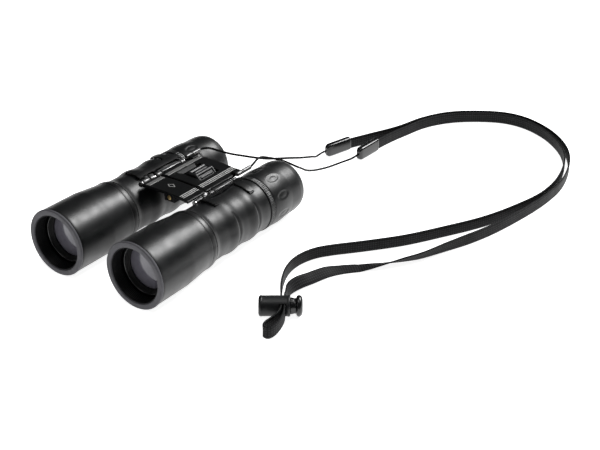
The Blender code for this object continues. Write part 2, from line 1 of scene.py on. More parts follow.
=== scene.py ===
"""Looks for the compact double-hinge binoculars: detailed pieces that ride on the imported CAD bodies.

Lengths in this file are millimetres unless a name ends in _m; every mesh is scaled to metres as it is made.
Barrel shapes are drawn level, in the instrument's own frame, then tipped as the instrument lies.
"""

import json
import math

import bpy
import numpy as np
from mathutils import Matrix, Vector

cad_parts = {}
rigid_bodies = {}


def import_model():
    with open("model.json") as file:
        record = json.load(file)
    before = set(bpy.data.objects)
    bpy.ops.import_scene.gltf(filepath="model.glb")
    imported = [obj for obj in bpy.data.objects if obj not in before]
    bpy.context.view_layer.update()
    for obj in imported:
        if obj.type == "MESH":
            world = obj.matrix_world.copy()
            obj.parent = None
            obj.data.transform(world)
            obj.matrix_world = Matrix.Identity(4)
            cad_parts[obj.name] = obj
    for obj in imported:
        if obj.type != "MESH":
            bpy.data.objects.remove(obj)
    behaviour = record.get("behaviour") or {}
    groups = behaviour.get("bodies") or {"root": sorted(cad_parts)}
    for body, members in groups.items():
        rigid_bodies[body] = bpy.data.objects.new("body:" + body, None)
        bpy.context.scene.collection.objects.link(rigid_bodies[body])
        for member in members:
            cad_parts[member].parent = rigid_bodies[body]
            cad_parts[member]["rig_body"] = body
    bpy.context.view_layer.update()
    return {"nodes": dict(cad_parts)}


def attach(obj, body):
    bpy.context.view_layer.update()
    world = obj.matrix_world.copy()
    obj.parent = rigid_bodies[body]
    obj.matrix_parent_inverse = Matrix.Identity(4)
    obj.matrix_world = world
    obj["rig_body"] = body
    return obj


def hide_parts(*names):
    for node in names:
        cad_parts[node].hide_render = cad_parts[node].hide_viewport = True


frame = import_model()
MM = 0.001

# Driving dimensions, the same as the CAD part's
AXIS_X, RIM_R, TUBE_R, TAPER_R, BODY_R = 29.6, 20.25, 20.0, 18.4, 17.0
CUP_R, CUP_Y, LENGTH = 17.65, 114.5, 137.0
HINGE_X, HINGE_Z = 20.5, 35.0
WHEEL_Z = 32.0
CREASE_Y = 27.0
TIP = math.atan2(TUBE_R - CUP_R, CUP_Y - CREASE_Y)
LIFT = CREASE_Y * math.sin(TIP) - (RIM_R - TUBE_R) * math.cos(TIP)
BACK = 0.5 * (LENGTH * math.cos(TIP) + (RIM_R + CUP_R) * math.sin(TIP))
LYING = Matrix.Translation((0, -BACK, LIFT)) @ Matrix.Rotation(-TIP, 4, "X")
LEVEL = Matrix.Identity(4)
SIDES = (("left", 1), ("right", -1))


# ------------------------------------------------------------------ camera and light

TARGET_m = Vector((0.0677, 0.0325, 0.01765))
CAMERA_m = Vector((0.4185, -0.4589, 0.3718))

camera = bpy.data.objects.new("camera", bpy.data.cameras.new("camera"))
camera.data.lens = 72.0
camera.data.sensor_width = 36.0
camera.data.clip_start = 0.01
camera.location = CAMERA_m
camera.rotation_euler = (TARGET_m - CAMERA_m).to_track_quat("-Z", "Y").to_euler()
bpy.context.scene.collection.objects.link(camera)
bpy.context.scene.camera = camera


def softbox(name, azimuth, elevation, distance_m, width_m, height_m, power):
    """An area light aimed at the object. Azimuth 0 is behind it (+Y), 90 on its +X side."""
    light = bpy.data.lights.new(name, "AREA")
    light.shape = "RECTANGLE"
    light.size = width_m
    light.size_y = height_m
    light.energy = power
    a, e = math.radians(azimuth), math.radians(elevation)
    way = Vector((math.sin(a) * math.cos(e), math.cos(a) * math.cos(e), math.sin(e)))
    obj = bpy.data.objects.new(name, light)
    obj.location = TARGET_m + way * distance_m
    obj.rotation_euler = way.to_track_quat("Z", "Y").to_euler()
    bpy.context.scene.collection.objects.link(obj)


softbox("back_softbox", 17, 46, 1.3, 0.62, 0.42, 22)
softbox("top_softbox", 180, 84, 1.8, 0.9, 0.9, 7)
softbox("front_fill", 200, 30, 2.0, 0.8, 0.8, 3)

world = bpy.data.worlds.new("studio")
bpy.context.scene.world = world
world.use_nodes = True
world.node_tree.nodes["Background"].inputs["Color"].default_value = (1, 1, 1, 1)
world.node_tree.nodes["Background"].inputs["Strength"].default_value = 0.06
bpy.context.scene.view_settings.view_transform = "Standard"


# ------------------------------------------------------------------ materials

GLOSS_PATCH, GLOSS_SPREAD, COLOUR_PATCH = 9.0, 0.05, 2.6
# Weave colour as factors of the base colour: painted shade in the hollows, painted highlight on the ribs
WEAVE_HOLLOW_SHADE, WEAVE_RIB_HIGHLIGHT = 0.3, 5.0
WAVE_FACTOR = 20  # the wave texture at scale 1 has this many radians of wave to a unit


def look(name, colour, rough, metallic=0.0, coat=0.0, grain=0.25, depth=0.012, weave=None, transmission=0.0,
         specular=0.5, tint=0.25):
    """A surface with fine grain, uneven gloss and slight colour variation; weave adds woven ribs along UV, with
    painted highlight on the ribs and painted shade in the hollows between them.

    grain is the size of the surface grain and depth its height, in millimetres. weave is how far apart the
    ribs are (along, across), in millimetres.
    """
    mat = bpy.data.materials.new(name)
    mat.use_nodes = True
    nodes, links = mat.node_tree.nodes, mat.node_tree.links
    bsdf = nodes["Principled BSDF"]
    bsdf.inputs["Metallic"].default_value = metallic
    bsdf.inputs["Coat Weight"].default_value = coat
    bsdf.inputs["Coat Roughness"].default_value = 0.12
    bsdf.inputs["Specular IOR Level"].default_value = specular
    bsdf.inputs["Transmission Weight"].default_value = transmission
    coords = nodes.new("ShaderNodeTexCoord")

    def noise(size, detail):
        tex = nodes.new("ShaderNodeTexNoise")
        tex.inputs["Scale"].default_value = 1.0 / (size * MM)
        tex.inputs["Detail"].default_value = detail
        links.new(coords.outputs["Object"], tex.inputs["Vector"])
        return tex.outputs["Fac"]

    def ramp(value, low, high):
        span = nodes.new("ShaderNodeMapRange")
        span.inputs["From Min"].default_value = 0.3
        span.inputs["From Max"].default_value = 0.7
        span.inputs["To Min"].default_value = low
        span.inputs["To Max"].default_value = high
        links.new(value, span.inputs["Value"])
        return span.outputs["Result"]

    def shade(value, low, high):
        mix = nodes.new("ShaderNodeMix")
        mix.data_type = "RGBA"
        mix.inputs["A"].default_value = (*[c * low for c in colour], 1)
        mix.inputs["B"].default_value = (*[min(1, c * high) for c in colour], 1)
        links.new(value, mix.inputs["Factor"])
        return mix.outputs["Result"]

    least, most = max(0.02, rough - GLOSS_SPREAD), min(1, rough + GLOSS_SPREAD)
    links.new(ramp(noise(GLOSS_PATCH, 3), least, most), bsdf.inputs["Roughness"])
    height = noise(grain, 2)
    if weave:
        along, across = weave
        waves = []
        for axis, period in (("X", along), ("Y", across)):
            wave = nodes.new("ShaderNodeTexWave")
            wave.bands_direction = axis
            wave.inputs["Scale"].default_value = 2 * math.pi / (WAVE_FACTOR * period)
            wave.inputs["Distortion"].default_value = 0.6
            links.new(coords.outputs["UV"], wave.inputs["Vector"])
            waves.append(wave.outputs["Fac"])
        joined = nodes.new("ShaderNodeMath")
        joined.operation = "MULTIPLY"
        links.new(waves[0], joined.inputs[0])
        links.new(waves[1], joined.inputs[1])
        height = joined.outputs["Value"]
        # The weave's colour follows its rib height: painted shade in the hollows, painted highlight on the ribs
        links.new(shade(height, WEAVE_HOLLOW_SHADE, WEAVE_RIB_HIGHLIGHT), bsdf.inputs["Base Color"])
    else:
        links.new(shade(noise(COLOUR_PATCH, 3), 1 - tint, 1 + tint), bsdf.inputs["Base Color"])
    bump = nodes.new("ShaderNodeBump")
    bump.inputs["Strength"].default_value = 0.6
    bump.inputs["Distance"].default_value = depth * MM
    links.new(height, bump.inputs["Height"])
    links.new(bump.outputs["Normal"], bsdf.inputs["Normal"])
    return mat


SATIN = look("satin_black", (0.003, 0.0034, 0.0037), 0.37, grain=0.3, depth=0.003, specular=0.4)
SKIN = look("soft_black_skin", (0.0035, 0.004, 0.0043), 0.4, grain=0.3, depth=0.005, specular=0.36)
RUBBER = look("eyecup_rubber", (0.0035, 0.004, 0.0043), 0.38, grain=0.25, depth=0.006, specular=0.38)
RIM = look("rim_grey", (0.075, 0.074, 0.082), 0.62, grain=0.2, depth=0.006, specular=0.3)
DEEP = look("recess_black", (0.002, 0.002, 0.0023), 0.5, grain=0.2, depth=0.006, specular=0.2)
RIDGE = look("ring_edge", (0.03, 0.03, 0.031), 0.22, grain=0.3, depth=0.002, specular=0.7)
PLATE = look("bridge_black", (0.0025, 0.0028, 0.003), 0.36, grain=0.25, depth=0.003, specular=0.25)
# Light grey painted on the bridge plates' black ribs as a painted highlight; the diamond mark uses it too
RIB_HIGHLIGHT_GREY = look("rib_highlight_grey", (0.36, 0.36, 0.355), 0.4, metallic=0.3, grain=0.2, depth=0.001, tint=0.08)
STEEL = look("steel", (0.42, 0.42, 0.42), 0.3, metallic=1.0, grain=0.2, depth=0.002)
BRASS = look("brass", (0.5, 0.36, 0.16), 0.32, metallic=1.0, grain=0.2, depth=0.002)
LENS = look("coated_lens", (0.13, 0.125, 0.15), 0.12, coat=0.5, grain=4.0, depth=0.0, transmission=0.1,
            tint=0.1)
PRISM = look("prism_glass", (0.5, 0.52, 0.54), 0.05, grain=4.0, depth=0.0, transmission=0.9, tint=0.05)
ROD = look("hinge_rod", (0.1, 0.1, 0.1), 0.34, metallic=0.6, grain=0.2, depth=0.002)
GLOSS = look("moulded_gloss", (0.003, 0.0033, 0.0037), 0.26, grain=0.4, depth=0.002, specular=0.5)
MOULDED = look("moulded_satin", (0.004, 0.0045, 0.0055), 0.4, grain=0.2, depth=0.005, specular=0.4)
# Webbing and cord carry the weave's painted highlight and painted shade
WEB = look("nylon_webbing", (0.005, 0.0052, 0.0056), 0.6, depth=0.16, weave=(1.5, 1.5), specular=0.12)
BRAID = look("braided_cord", (0.003, 0.0031, 0.0034), 0.6, depth=0.05, weave=(1.1, 0.7), specular=0.1)


# ------------------------------------------------------------------ mesh helpers

def solid(name, verts, faces, mat, body, nodes=(), place=LYING, sharp=35, uv=None):
    """A named mesh piece from points in millimetres, facing outwards, riding on a CAD body."""
    points = np.asarray(verts, float) * MM
    if place is not LEVEL:
        turn = np.array(place.to_3x3())
        points = points @ turn.T + np.array(place.translation) * MM
    mesh = bpy.data.meshes.new(name)
    mesh.from_pydata(points.tolist(), [], [tuple(f) for f in faces])
    if uv is not None:
        layer = mesh.uv_layers.new(name="UVMap")
        corner = np.zeros(len(mesh.loops), np.int32)
        mesh.loops.foreach_get("vertex_index", corner)
        layer.data.foreach_set("uv", np.asarray(uv, np.float32)[corner].ravel())
    if volume(mesh) < 0:
        mesh.flip_normals()
    mesh.shade_smooth()
    mesh.set_sharp_from_angle(angle=math.radians(sharp))
    mesh.materials.append(mat)
    obj = bpy.data.objects.new(name, mesh)
    bpy.context.scene.collection.objects.link(obj)
    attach(obj, body)
    if nodes:
        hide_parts(*nodes)
    return obj


def volume(mesh):
    """Six times the mesh's volume, negative if it faces inwards."""
    mesh.calc_loop_triangles()
    corners = np.zeros(len(mesh.loop_triangles) * 3, np.int32)
    mesh.loop_triangles.foreach_get("vertices", corners)
    points = np.zeros(len(mesh.vertices) * 3)
    mesh.vertices.foreach_get("co", points)
    a, b, c = points.reshape(-1, 3)[corners.reshape(-1, 3)].transpose(1, 0, 2)
    return float(np.einsum("ij,ij->i", a, np.cross(b, c)).sum())


def grid_faces(rows, cols, close_rows=False, close_cols=False):
    """Quads of a rows x cols grid of points, joined round where asked."""
    i = np.arange(rows if close_rows else rows - 1)
    j = np.arange(cols if close_cols else cols - 1)
    i, j = np.meshgrid(i, j, indexing="ij")
    i, j = i.ravel(), j.ravel()
    i1, j1 = (i + 1) % rows, (j + 1) % cols
    return np.stack((i * cols + j, i * cols + j1, i1 * cols + j1, i1 * cols + j), 1).tolist()


NEARLY_STRAIGHT = math.radians(158)
ROD_STEPS = 32


def softened(outline, radius, closed=True):
    """The outline with its corners rounded off."""
    out = []
    count = len(outline)
    for k, p in enumerate(outline):
        if not closed and k in (0, count - 1):
            out.append(p)
            continue
        p = Vector(p)
        a, b = Vector(outline[k - 1]) - p, Vector(outline[(k + 1) % count]) - p
        if a.angle(b) > NEARLY_STRAIGHT:
            out.append(tuple(p))
            continue
        cut = min(radius, a.length * 0.4, b.length * 0.4)
        start, end = p + a.normalized() * cut, p + b.normalized() * cut
        out += [tuple(start.lerp(p, u).lerp(p.lerp(end, u), u)) for u in (0, 0.5, 1)]
    return out


def divided(outline, step, closed=True):
    """The outline with long segments cut into shorter ones."""
    out = []
    following = outline[1:] + outline[:1] if closed else outline[1:]
    for a, b in zip(outline, following):
        cuts = max(1, int(math.dist(a, b) / step))
        out += [tuple(Vector(a).lerp(Vector(b), k / cuts)) for k in range(cuts)]
    return out if closed else out + [outline[-1]]


def lathe(name, outline, mat, body, nodes=(), slot=None, side=1, centre=(AXIS_X, RIM_R), steps=128,
          shape=None, step=50.0, soft=0.15, closed=True, place=LYING):
    """A body turned about a line along Y, from (radius, y) points.

    shape(angle, radius, y) adds to the radius. Angle 0 points away from the other barrel and 90 degrees
    points up. step is the longest stretch of outline left whole, and soft the radius of its corners.
    """
    points = divided(softened(outline, soft, closed), step, closed)
    radius, y = np.array(points).T
    turn = np.arange(steps) * 2 * math.pi / steps
    angle = np.degrees(turn)[None, :]
    radius = np.repeat(radius[:, None], steps, 1)
    along = np.repeat(y[:, None], steps, 1)
    if shape:
        radius = radius + shape((angle + 180) % 360 - 180, radius, along)
    x = side * (centre[0] + radius * np.cos(turn))
    z = centre[1] + radius * np.sin(turn)
    verts = np.stack((x, along, z), 2).reshape(-1, 3)
    faces = grid_faces(len(points), steps, close_rows=closed, close_cols=True)
    if not closed:
        rows = len(points)
        faces += [list(range(steps)), list(range((rows - 1) * steps, rows * steps))[::-1]]
    return solid(name, verts, faces, mat, body, nodes, place)


def bump_up(d):
    """A smooth hump: 1 at 0, falling to 0 at 1 and beyond."""
    d = np.clip(np.abs(d), 0, 1)
    return 0.5 * (1 + np.cos(math.pi * d))


def edge_step(d, soft):
    """1 inside (d < 0), 0 outside, over a short slope."""
    return 1 / (1 + np.exp(np.clip(d / soft, -30, 30)))


def block(name, low, high, mat, body, nodes=(), place=LYING, bevel=0.3):
    """A box with rounded edges."""
    (x0, y0, z0), (x1, y1, z1) = low, high
    verts = [(x, y, z) for x in (x0, x1) for y in (y0, y1) for z in (z0, z1)]
    faces = [(0, 1, 3, 2), (4, 6, 7, 5), (0, 4, 5, 1), (2, 3, 7, 6), (0, 2, 6, 4), (1, 5, 7, 3)]
    obj = solid(name, verts, faces, mat, body, nodes, place)
    edge = obj.modifiers.new("edge", "BEVEL")
    edge.width = bevel * MM
    edge.segments = 3
    return obj


def rod(name, x, z, sections, mat, body, nodes=(), slot=None, soft=0.2):
    """A rod along Y with rounded ends, from (radius, y) points, front to rear."""
    outline = [(0.02, sections[0][1])] + list(sections) + [(0.02, sections[-1][1])]
    return lathe(name, outline, mat, body, nodes, slot, 1, (x, z), ROD_STEPS, soft=soft, closed=False)


# ------------------------------------------------------------------ barrels

RIBS = ((69.2, 0.78), (87.5, 0.8))  # (middle y, height) of the housing's two swells
RIB_HALF = 7.4
DENTS = ((70.2, -20, 48), (88.4, -21, 43))  # (y, first and last angle)
DENT_DEPTH, DENT_BEND = 0.62, 1.4
DIMPLE_FIRST, DIMPLE_PITCH = 83, 40
DIMPLE_R, DIMPLE_Y, DIMPLE_HALF_W, DIMPLE_HALF_L, DIMPLE_DEPTH = 17.6, 114.6, 2.35, 4.5, 0.5
KNURL_Y0, KNURL_Y1, KNURL_COUNT, KNURL_DEPTH = 102.4, 105.3, 110, 0.07
HOUSING_OUTER_R, CUP_OUTER_R, RING_OUTER_R = 16.0, 16.5, 17.0  # shaping starts beyond these radii


def crescent(angle, y, y0, first, last):
    """A crescent-shaped finger dent across the barrel's outer side."""
    middle, half = (first + last) / 2, (last - first) / 2
    w = np.sqrt(np.clip(1 - ((angle - middle) / half) ** 2, 0, 1))
    reach = 0.3 + 2.1 * w
    d = (y - (y0 + DENT_BEND * w)) / reach
    return -DENT_DEPTH * w * np.where(d < 0, bump_up(d * 1.6), bump_up(d))


def housing_shape(angle, radius, y):
    """Two swells round the housing, each with a dent on its outer side."""
    ribs = sum(height * bump_up((y - middle) / RIB_HALF) for middle, height in RIBS)
    dents = sum(crescent(angle, y, *dent) for dent in DENTS)
    return np.where(radius > HOUSING_OUTER_R, ribs + dents, 0)


def cup_shape(angle, radius, y):
    """Oval thumb dimples round the eyecup's bulge."""
    off = (angle - DIMPLE_FIRST + 180) % DIMPLE_PITCH
    off = np.where(off > DIMPLE_PITCH / 2, off - DIMPLE_PITCH, off)
    u = np.radians(off) * DIMPLE_R / DIMPLE_HALF_W
    v = (y - DIMPLE_Y) / DIMPLE_HALF_L
    d = np.sqrt(u * u + v * v)
    recess = DIMPLE_DEPTH * edge_step(d - 1, 0.07) * (0.55 + 0.45 * np.clip(d, 0, 1) ** 2)
    return np.where(radius > CUP_OUTER_R, -recess, 0)


def knurl(angle, radius, y):
    """Fine square ribs round the eyepiece ring."""
    inside = (y > KNURL_Y0) & (y < KNURL_Y1) & (radius > RING_OUTER_R)
    return np.where(inside, KNURL_DEPTH * np.sign(np.sin(np.radians(angle * KNURL_COUNT))), 0)


def barrel(tag, side):
    """Everything turned about a barrel's axis, front to rear; the right eyepiece turns for the diopter."""
    body = cup_body = cell_body = f"{tag}_barrel"
    group = f"{tag}_objective_group"
    if tag == "right":
        cup_body, cell_body = "right_diopter", "right_ocular"

    def turned(part, outline, mat, onto, slot, nodes=None, **more):
        names = (f"{tag}_{part}",) if nodes is None else nodes
        return lathe(f"{tag}_{part}_skin", outline, mat, onto, names, slot, side, **more)

    turned("objective_tube", [(17.9, 49.45), (18.35, 49.0), (18.5, 47.6), (18.45, 45.95), (18.34, 45.7),
                              (18.34, 45.4), (18.45, 45.15), (18.4, 43.4), (19.3, 34.5), (20.0, 27.0),
                              (20.0, 1.95), (18.5, 1.95), (18.5, 25.0), (17.0, 41.0), (14.2, 46.0),
                              (14.2, 49.45)], SATIN, body, "barrel_plastic", steps=160, step=1.5,
                              soft=0.12)
    turned("objective_bezel", [(18.1, 7.5), (18.1, 1.7), (20.0, 1.7), (RIM_R, 1.4), (RIM_R, 0.55),
                               (19.8, 0.0), (17.15, 0.0), (16.85, 0.35), (16.85, 7.5)], RIM, body,
                               "rim_plastic", steps=160, soft=0.2)
    thread = [(16.75, 8.3), (16.75, 0.75), (16.35, 0.75)]
    thread += [(16.35 - 0.22 * (k % 2), 1.5 + 0.5 * k) for k in range(13)] + [(16.35, 8.3)]
    turned("recess_sleeve", thread, DEEP, body, "inner_black", nodes=(), steps=128, soft=0.05)
    turned("lens_retaining_ring", [(15.0, 11.3), (15.9, 9.5), (15.9, 9.0), (14.9, 8.75), (14.5, 8.9),
                                   (14.3, 9.4), (13.95, 9.45), (13.75, 10.0), (13.4, 10.05),
                                   (13.2, 10.6), (12.8, 10.7), (12.55, 11.3)], DEEP, group,
                                   "inner_black", steps=128, soft=0.08)
    turned("ring_line", [(14.95, 8.72), (14.95, 8.4), (14.7, 8.25), (14.45, 8.4), (14.45, 8.72)],
           RIDGE, group, "inner_black", nodes=(), steps=128, soft=0.08)
    lens = [(0.02, 17.6), (8.0, 17.5), (14.7, 17.2), (14.7, 12.2), (12.5, 11.62), (10.0, 11.05),
            (7.5, 10.62), (5.0, 10.33), (2.5, 10.16), (0.02, 10.1)]
    turned("objective_lens", lens, LENS, group, "coated_glass", steps=96, soft=0.05, closed=False)
    turned("barrel_housing", [(16.8, 101.5), (16.85, 99.0), (16.75, 96.0), (16.88, 80.0), (16.9, 60.0),
                              (16.95, 55.0), (17.1, 53.2), (17.6, 51.3), (18.0, 50.2), (17.95, 49.6),
                              (14.3, 49.6), (14.3, 57.0), (12.2, 57.0), (12.2, 101.5)], SKIN, body,
                              "barrel_plastic", steps=224, step=0.55, shape=housing_shape, soft=0.2)
    turned("eyepiece_ring", [(17.1, 105.85), (17.3, 105.5), (17.3, 105.3), (17.25, 105.2),
                             (17.25, 102.5), (17.3, 102.4), (17.3, 102.1), (17.1, 101.8), (12.4, 101.8),
                             (12.4, 105.85)], RUBBER, cup_body, "black_rubber", steps=440, step=0.9,
                             shape=knurl, soft=0.06)
    turned("eyecup", [(12.2, 106.3), (12.2, 130.8), (12.6, 131.2), (12.9, 135.6), (13.7, 136.8),
                      (14.7, LENGTH), (15.75, 136.5), (16.4, 135.0), (16.9, 132.0), (17.0, 129.0),
                      (17.02, 123.5), (17.38, 119.3), (17.6, 116.5), (CUP_R, CUP_Y), (17.6, 112.5),
                      (17.38, 109.7), (17.05, 107.2), (16.9, 106.3)], RUBBER, cup_body, "black_rubber",
                      steps=240, step=0.6, shape=cup_shape, soft=0.2)
    turned("ocular_tube", [(11.5, 129.0), (11.5, 96.5), (9.6, 96.5), (9.6, 118.0), (8.9, 118.2),
                           (8.9, 127.6), (9.3, 128.2), (10.6, 129.0)], DEEP, cell_body, "inner_black",
                           steps=96, soft=0.1)
    eye = [(0.02, 127.5), (3.0, 127.32), (6.0, 126.75), (8.6, 126.0), (8.6, 122.5), (5.0, 122.2),
    (0.02, 122.0)]
    turned("eye_lens", eye, LENS, cell_body, "coated_glass", steps=72, soft=0.05, closed=False)


def curved_tab(name, side, first, last, y0, y1, r0, r1, mat, body, nodes=(), taper=0.5):
    """A thin plate curved round a barrel between two angles, its corners drawn in."""
    steps = 14
    rings = []
    for i in range(steps + 1):
        u = i / steps
        a = math.radians(first + (last - first) * u)
        inset = taper * max(0.0, abs(2 * u - 1) - 0.8) / 0.2
        front, rear = y0 + inset, y1 - inset
        section = [(r0, front), (r1 - 0.25, front), (r1, front + 0.3), (r1, rear - 0.3), (r1 - 0.25, rear),
                   (r0, rear)]
        rings.append([(side * (AXIS_X + r * math.cos(a)), y, RIM_R + r * math.sin(a)) for r, y in section])
    count = len(rings[0])
    verts = [p for ring in rings for p in ring]
    faces = grid_faces(steps + 1, count, close_cols=True)
    faces += [list(range(count)), list(range(steps * count, (steps + 1) * count))[::-1]]
    return solid(name, verts, faces, mat, body, nodes, sharp=25)


FEET = ((77, 64.0, 67.8), (62, 90.6, 95.6))  # (outer angle, y, y) of the clamp's feet
KNUCKLES = ((63.6, 69.0), (69.9, 72.4), (75.7, 79.7), (97.5, 100.1))
KNUCKLE_R = 1.9
WEB_FOOT_R, WEB_FOOT_ANGLE = 17.9, math.radians(105)


def hinge(tag, side):
    """The clamp strip beside the hinge, its two feet, the knuckles, and the rods they carry."""
    body = f"{tag}_barrel"
    curved_tab(f"{tag}_clamp_strip", side, 99, 111, 63.7, 100.4, 17.75, 18.75, PLATE, body,
               (f"{tag}_hinge_bracket",))
    for number, (last, y0, y1) in enumerate(FEET):
        curved_tab(f"{tag}_clamp_foot_{number}", side, last, 100, y0, y1, 17.5, 18.45, SATIN, body,
                   (), taper=0.9)
        curved_tab(f"{tag}_foot_toe_{number}", side, last - 3.4, last - 0.3, y0 + 0.2, y1 - 0.2, 17.0, 18.1,
                   DEEP, body, (), taper=0.2)
    x = side * HINGE_X
    foot_x = side * (AXIS_X + WEB_FOOT_R * math.cos(WEB_FOOT_ANGLE))
    for number, (y0, y1) in enumerate(KNUCKLES):
        rod(f"{tag}_knuckle_{number}", x, HINGE_Z, [(KNUCKLE_R, y0), (KNUCKLE_R, y1)], ROD, body, (),
            "bridge_paint", soft=0.35)
        low = (min(x, foot_x) - 0.1, y0 + 0.5, 33.9)
        high = (max(x, foot_x) + 0.1, y1 - 0.5, 36.6)
        block(f"{tag}_knuckle_web_{number}", low, high, GLOSS, body, (), bevel=0.4)
    pin = [(1.3, 62.0), (1.7, 62.4), (1.7, 63.2), (0.9, 63.3), (0.9, 100.4), (1.7, 100.5), (1.7, 101.0),
           (1.3, 101.3)]
    rod(f"{tag}_hinge_pin_skin", x, HINGE_Z, pin, STEEL, "bridge", (f"{tag}_hinge_pin",), "steel", soft=0.1)
    lug = [(1.0, 102.5), (1.3, 102.9), (1.3, 107.6), (1.1, 107.8), (1.1, 108.3), (1.3, 108.5), (1.3, 115.5),
           (0.9, 116.0)]
    rod(f"{tag}_strap_lug_skin", side * 19.8, 37.45, lug, ROD, "bridge", (f"{tag}_strap_lug",),
        "bridge_paint", soft=0.12)
    x0, x1 = sorted((side * 14.7, side * 19.5))
    block(f"{tag}_lug_foot_skin", (x0, 103.1, 37.2), (x1, 108.4, 38.1), PLATE, "bridge", ())


# ------------------------------------------------------------------ bridge

PLATE_HALF, PLATE_T, EDGE_Z, MID_Z = 17.6, 1.5, 36.6, 37.7
WINDOW = (-7.8, 7.8, 83.8, 101.2)
SLOPE_X = -11.4
PLATE_CELL = 0.4
BAR_HEIGHT, BAR_SUNK = 0.3, 0.05
WHEEL_FLAT_R, WHEEL_CORNER_R, WHEEL_MID_Y = 7.39, 7.86, 92.5


def crown(x):
    """Height of the arched plates' top at x."""
    return MID_Z - (MID_Z - EDGE_Z) * (x / PLATE_HALF) ** 2


def rear_top(x, y):
    """Arched top; beside the window its left side slopes down towards the wheel."""
    top = crown(x)
    y0, y1 = WINDOW[2] - 0.6, WINDOW[3] - 1.5
    beside = (x > SLOPE_X) & (x <= WINDOW[0] + 0.01) & (y > y0) & (y < y1)
    return np.where(beside, crown(SLOPE_X) - 0.42 * (x - SLOPE_X), top)


def plate(name, y0, y1, top, mat, body, nodes, hole=None):
    """An arched plate with its edges rounded over, and a rectangular hole if asked."""
    nx, ny = int(2 * PLATE_HALF / PLATE_CELL), int((y1 - y0) / PLATE_CELL)
    xs, ys = np.linspace(-PLATE_HALF, PLATE_HALF, nx + 1), np.linspace(y0, y1, ny + 1)
    if hole:
        for edge in hole[:2] + (SLOPE_X,):
            xs[np.argmin(abs(xs - edge))] = edge
        for edge in hole[2:]:
            ys[np.argmin(abs(ys - edge))] = edge
    gx, gy = np.meshgrid(xs, ys, indexing="ij")
    rim = np.minimum.reduce([gx + PLATE_HALF, PLATE_HALF - gx, gy - y0, y1 - gy])
    high = top(gx, gy) - 0.35 * np.clip(1 - rim / 0.5, 0, 1) ** 2
    low = crown(gx) - PLATE_T
    count = gx.size
    verts = np.concatenate([np.stack((gx, gy, z), 2).reshape(-1, 3) for z in (high, low)])
    cx, cy = (xs[:-1] + xs[1:]) / 2, (ys[:-1] + ys[1:]) / 2
    keep = np.ones((nx, ny), bool)
    if hole:
        keep &= ~(((cx > hole[0]) & (cx < hole[1]))[:, None] & ((cy > hole[2]) & (cy < hole[3]))[None, :])
    faces = []

    def at(i, j):
        return i * (ny + 1) + j

    for i in range(nx):
        for j in range(ny):
            if not keep[i, j]:
                continue
            quad = [at(i, j), at(i + 1, j), at(i + 1, j + 1), at(i, j + 1)]
            faces.append(quad)
            faces.append([k + count for k in quad][::-1])
            for p, (di, dj) in enumerate(((0, -1), (1, 0), (0, 1), (-1, 0))):
                q, a, b = (p + 1) % 4, i + di, j + dj
                if not (0 <= a < nx and 0 <= b < ny) or not keep[a, b]:
                    faces.append([quad[q], quad[p], quad[p] + count, quad[q] + count])
    used = sorted({k for f in faces for k in f})
    index = {k: n for n, k in enumerate(used)}
    faces = [[index[k] for k in f] for f in faces]
    return solid(name, verts[used], faces, mat, body, nodes, sharp=30)


def bars(name, spans, mat, body, inset=0.14):
    """Raised bars with chamfered tops on the arched plate, each from (x0, x1, y0, y1)."""
    verts, faces = [], []
    for x0, x1, y0, y1 in spans:
        for d, up in ((0, -BAR_SUNK), (0, BAR_HEIGHT - inset), (inset, BAR_HEIGHT)):
            for x, y in ((x0 + d, y0 + d), (x1 - d, y0 + d), (x1 - d, y1 - d), (x0 + d, y1 - d)):
                verts.append((x, y, crown(x) + up))
        n = len(verts) - 12
        for level in (0, 4):
            for k in range(4):
                a, b = n + level + k, n + level + (k + 1) % 4
                faces.append((a, b, b + 4, a + 4))
        faces += [(n, n + 3, n + 2, n + 1), (n + 8, n + 9, n + 10, n + 11)]
    return solid(name, verts, faces, mat, body, (), sharp=20)


def wheel_shape(angle, radius, y):
    """Eight flats, each with a long raised bar in a rounded groove."""
    off = (angle - 90 + 22.5) % 45 - 22.5
    delta = np.radians(off)
    flat = np.minimum(WHEEL_FLAT_R / np.cos(delta), WHEEL_CORNER_R)
    s, v = WHEEL_FLAT_R * np.tan(delta), y - WHEEL_MID_Y
    groove = np.maximum(abs(s) - 1.95, abs(v) - 6.5)
    bar = np.maximum(abs(s) - 0.75, abs(v) - 5.3)
    cut = -0.62 * edge_step(groove, 0.09) + 0.5 * edge_step(bar, 0.09)
    scale = radius / WHEEL_FLAT_R
    return np.where(radius > 5.0, flat * scale - radius + cut, 0)


